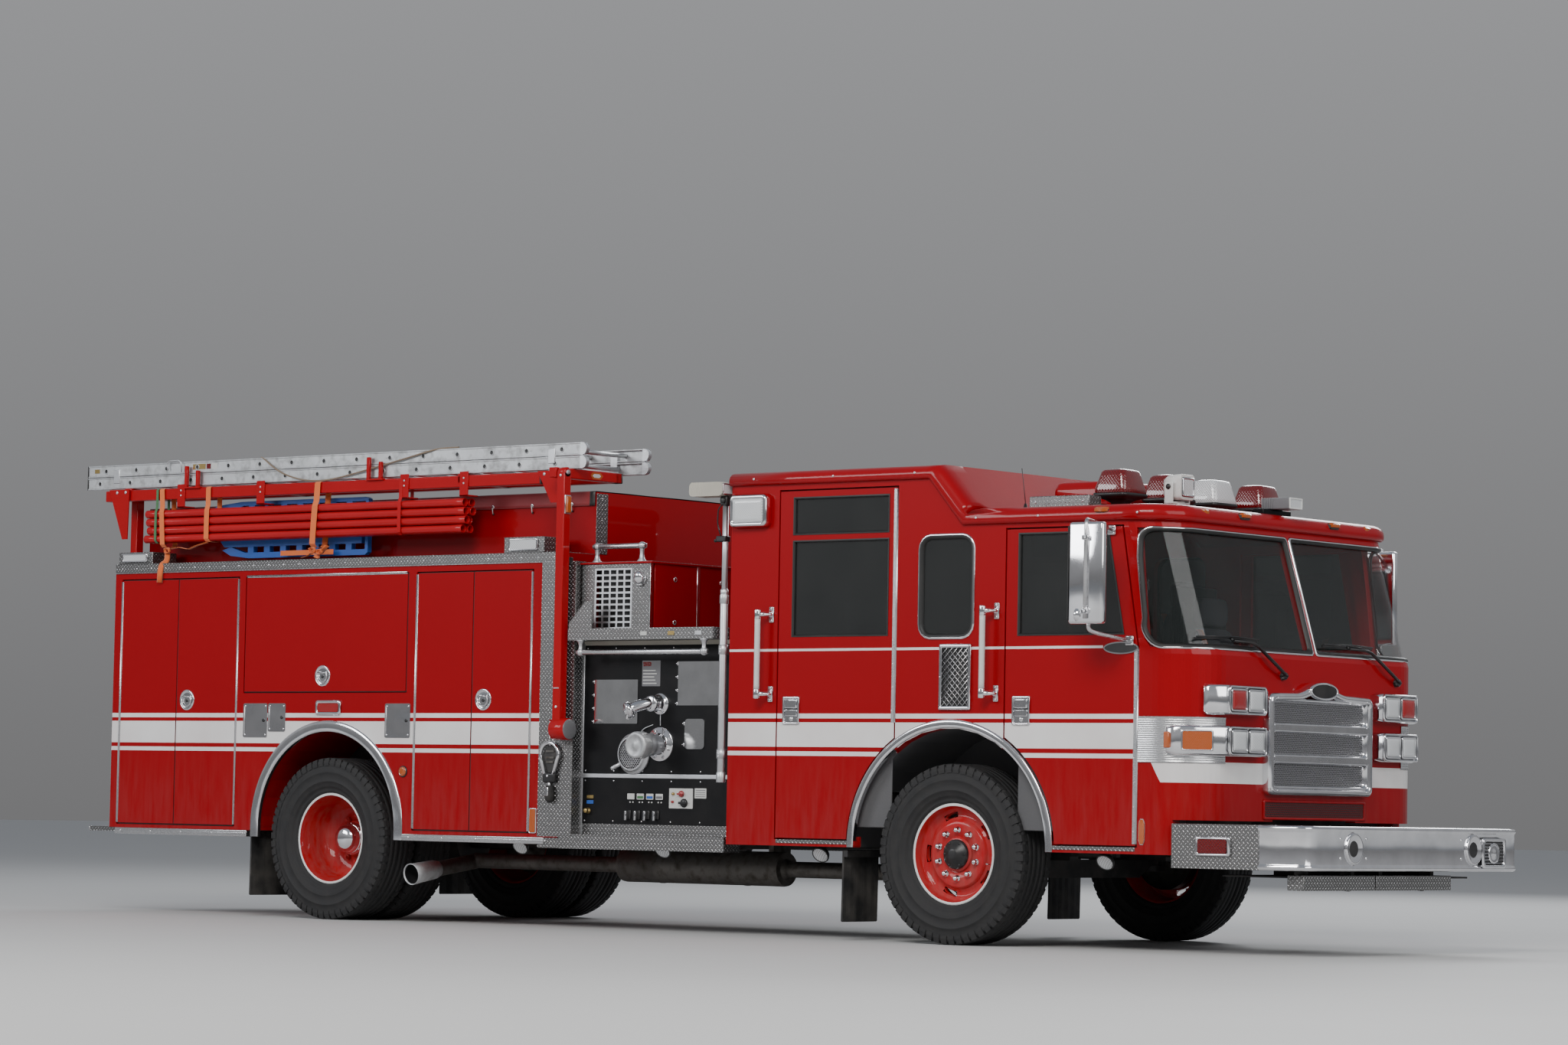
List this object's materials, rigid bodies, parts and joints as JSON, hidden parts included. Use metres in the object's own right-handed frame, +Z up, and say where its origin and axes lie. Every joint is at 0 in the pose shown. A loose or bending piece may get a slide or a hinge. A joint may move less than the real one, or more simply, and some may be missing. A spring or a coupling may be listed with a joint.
{
  "type": "fire engine",
  "caption": "Custom-cab fire pumper: four-door tilting cab, mid pump panel, side equipment compartments, covered hose bed and a swing-down ladder rack",
  "frame": {"origin": "Centre of the bounding box in plan, on the ground under the tyres", "axes": "+X forward along the vehicle, +Y to its left side, +Z up"},
  "size_m": [10.118, 3.17, 3.0823],
  "materials": {
    "red_paint": "gloss red enamel",
    "white_paint": "gloss white enamel",
    "black_paint": "satin black chassis paint",
    "engine_paint": "painted castings",
    "chrome": "polished chrome",
    "bright_steel": "polished stainless and tread plate",
    "aluminium": "mill aluminium",
    "black_plastic": "moulded black",
    "grey_trim": "grained grey",
    "red_lens": "clear red lens",
    "red_vinyl": "coated red fabric",
    "blue_pipe": "semi-gloss",
    "grey_pipe": "matt hose jacket",
    "seat_cloth": "woven seat cover",
    "rubber_black": "black rubber",
    "tyre_black": "tread and side wall",
    "window_glass": "tinted"
  },
  "bodies": {
    "chassis": {"chassis_frame": "black_paint", "axles": "black_paint", "engine_and_exhaust": "engine_paint", "front_bumper": "chrome", "body_compartments": "red_paint", "hose_bed": "red_paint", "hose_bed_cover": "red_vinyl", "body_trim": "bright_steel", "pump_module": "bright_steel", "pump_top_box": "red_paint", "pump_fittings": "chrome", "floodlight": "aluminium", "mud_flaps": "rubber_black"},
    "cab": {"cab_tub": "grey_trim", "cab_sides": "red_paint", "cab_nose": "red_paint", "cab_roof": "white_paint", "cab_glass": "window_glass", "grille": "chrome", "lamp_clusters": "chrome", "roof_beacons": "red_lens", "seats": "seat_cloth", "dashboard": "black_plastic", "cab_trim": "chrome"},
    "rack_front": {"rack_front_arm": "aluminium"},
    "rack_rear": {"rack_rear_arm": "aluminium"},
    "rack_platform": {"rack_frame": "aluminium", "ladders": "aluminium", "pipes": "grey_pipe", "backboard": "blue_pipe"},
    "right_front_cab_door": {"right_front_door": "red_paint", "right_front_door_glass": "window_glass", "right_mirror": "chrome"},
    "right_crew_cab_door": {"right_crew_door": "red_paint", "right_crew_door_glass": "window_glass"},
    "right_front_door_a_leaf": {"right_front_door_a": "red_paint"},
    "right_front_door_b_leaf": {"right_front_door_b": "red_paint"},
    "right_lift_door_leaf": {"right_lift_door": "red_paint"},
    "right_rear_door_a_leaf": {"right_rear_door_a": "red_paint"},
    "right_rear_door_b_leaf": {"right_rear_door_b": "red_paint"},
    "right_steered_hub": {"right_knuckle": "black_paint"},
    "right_front_wheel_set": {"right_front_wheel": "red_paint", "right_front_tyre": "tyre_black"},
    "right_rear_wheel_set": {"right_rear_wheels": "red_paint", "right_rear_tyres": "tyre_black"},
    "left_front_cab_door": {"left_front_door": "red_paint", "left_front_door_glass": "window_glass", "left_mirror": "chrome"},
    "left_crew_cab_door": {"left_crew_door": "red_paint", "left_crew_door_glass": "window_glass"},
    "left_front_door_a_leaf": {"left_front_door_a": "red_paint"},
    "left_front_door_b_leaf": {"left_front_door_b": "red_paint"},
    "left_lift_door_leaf": {"left_lift_door": "red_paint"},
    "left_rear_door_a_leaf": {"left_rear_door_a": "red_paint"},
    "left_rear_door_b_leaf": {"left_rear_door_b": "red_paint"},
    "left_steered_hub": {"left_knuckle": "black_paint"},
    "left_front_wheel_set": {"left_front_wheel": "red_paint", "left_front_tyre": "tyre_black"},
    "left_rear_wheel_set": {"left_rear_wheels": "red_paint", "left_rear_tyres": "tyre_black"}
  },
  "joints": [
    {"name": "cab_tilt", "type": "hinge", "parent": "chassis", "child": "cab", "pos_m": [4.318, 0, 0.795], "axis": [0, 1, 0], "range_deg": [0, 45]},
    {"name": "right_front_cab_door_hinge", "type": "hinge", "parent": "cab", "child": "right_front_cab_door", "pos_m": [3.953, -1.245, 1.5], "axis": [0, 0, 1], "range_deg": [0, 70]},
    {"name": "right_crew_cab_door_hinge", "type": "hinge", "parent": "cab", "child": "right_crew_cab_door", "pos_m": [2.199, -1.245, 1.6], "axis": [0, 0, 1], "range_deg": [0, 80]},
    {"name": "right_front_door_a_hinge", "type": "hinge", "parent": "chassis", "child": "right_front_door_a_leaf", "pos_m": [-0.733, -1.245, 1.437], "axis": [0, 0, 1], "range_deg": [0, 90]},
    {"name": "right_front_door_b_hinge", "type": "hinge", "parent": "chassis", "child": "right_front_door_b_leaf", "pos_m": [-1.753, -1.245, 1.437], "axis": [0, 0, -1], "range_deg": [0, 90]},
    {"name": "right_lift_door_hinge", "type": "hinge", "parent": "chassis", "child": "right_lift_door_leaf", "pos_m": [-2.589, -1.245, 2.272], "axis": [-1, 0, 0], "range_deg": [0, 90]},
    {"name": "right_rear_door_a_hinge", "type": "hinge", "parent": "chassis", "child": "right_rear_door_a_leaf", "pos_m": [-3.413, -1.245, 1.437], "axis": [0, 0, 1], "range_deg": [0, 90]},
    {"name": "right_rear_door_b_hinge", "type": "hinge", "parent": "chassis", "child": "right_rear_door_b_leaf", "pos_m": [-4.565, -1.245, 1.437], "axis": [0, 0, -1], "range_deg": [0, 90]},
    {"name": "right_steer", "type": "hinge", "parent": "chassis", "child": "right_steered_hub", "pos_m": [2.605, -0.855, 0.533], "axis": [0, 0, 1], "range_deg": [-35, 35]},
    {"name": "right_front_wheel_spin", "type": "hinge", "parent": "right_steered_hub", "child": "right_front_wheel_set", "pos_m": [2.605, -1.07, 0.533], "axis": [0, 1, 0], "continuous": true},
    {"name": "right_rear_wheel_spin", "type": "hinge", "parent": "chassis", "child": "right_rear_wheel_set", "pos_m": [-2.556, -0.9, 0.533], "axis": [0, 1, 0], "continuous": true},
    {"name": "left_front_cab_door_hinge", "type": "hinge", "parent": "cab", "child": "left_front_cab_door", "pos_m": [3.953, 1.245, 1.5], "axis": [0, 0, -1], "range_deg": [0, 70]},
    {"name": "left_crew_cab_door_hinge", "type": "hinge", "parent": "cab", "child": "left_crew_cab_door", "pos_m": [2.199, 1.245, 1.6], "axis": [0, 0, -1], "range_deg": [0, 80]},
    {"name": "left_front_door_a_hinge", "type": "hinge", "parent": "chassis", "child": "left_front_door_a_leaf", "pos_m": [-0.733, 1.245, 1.437], "axis": [0, 0, -1], "range_deg": [0, 90]},
    {"name": "left_front_door_b_hinge", "type": "hinge", "parent": "chassis", "child": "left_front_door_b_leaf", "pos_m": [-1.753, 1.245, 1.437], "axis": [0, 0, 1], "range_deg": [0, 90]},
    {"name": "left_lift_door_hinge", "type": "hinge", "parent": "chassis", "child": "left_lift_door_leaf", "pos_m": [-2.589, 1.245, 2.272], "axis": [1, 0, 0], "range_deg": [0, 90]},
    {"name": "left_rear_door_a_hinge", "type": "hinge", "parent": "chassis", "child": "left_rear_door_a_leaf", "pos_m": [-3.413, 1.245, 1.437], "axis": [0, 0, -1], "range_deg": [0, 90]},
    {"name": "left_rear_door_b_hinge", "type": "hinge", "parent": "chassis", "child": "left_rear_door_b_leaf", "pos_m": [-4.565, 1.245, 1.437], "axis": [0, 0, 1], "range_deg": [0, 90]},
    {"name": "left_steer", "type": "hinge", "parent": "chassis", "child": "left_steered_hub", "pos_m": [2.605, 0.855, 0.533], "axis": [0, 0, 1], "range_deg": [-35, 35]},
    {"name": "left_front_wheel_spin", "type": "hinge", "parent": "left_steered_hub", "child": "left_front_wheel_set", "pos_m": [2.605, 1.07, 0.533], "axis": [0, 1, 0], "continuous": true},
    {"name": "left_rear_wheel_spin", "type": "hinge", "parent": "chassis", "child": "left_rear_wheel_set", "pos_m": [-2.556, 0.9, 0.533], "axis": [0, 1, 0], "continuous": true},
    {"name": "rack_swing", "type": "hinge", "parent": "chassis", "child": "rack_front", "pos_m": [-0.43, -1.3, 1.257], "axis": [1, 0, 0], "range_deg": [0, 85]},
    {"name": "rack_rear_follow", "type": "hinge", "parent": "chassis", "child": "rack_rear", "pos_m": [-4.68, -1.02, 1.257], "axis": [1, 0, 0], "range_deg": [0, 85]},
    {"name": "rack_level", "type": "hinge", "parent": "rack_front", "child": "rack_platform", "pos_m": [-0.43, -1.3, 2.88], "axis": [1, 0, 0], "range_deg": [-85, 0]}
  ],
  "couplings": [
    {"joint": "left_steer", "follows": "right_steer", "ratio": 1},
    {"joint": "rack_rear_follow", "follows": "rack_swing", "ratio": 1},
    {"joint": "rack_level", "follows": "rack_swing", "ratio": -1}
  ]
}
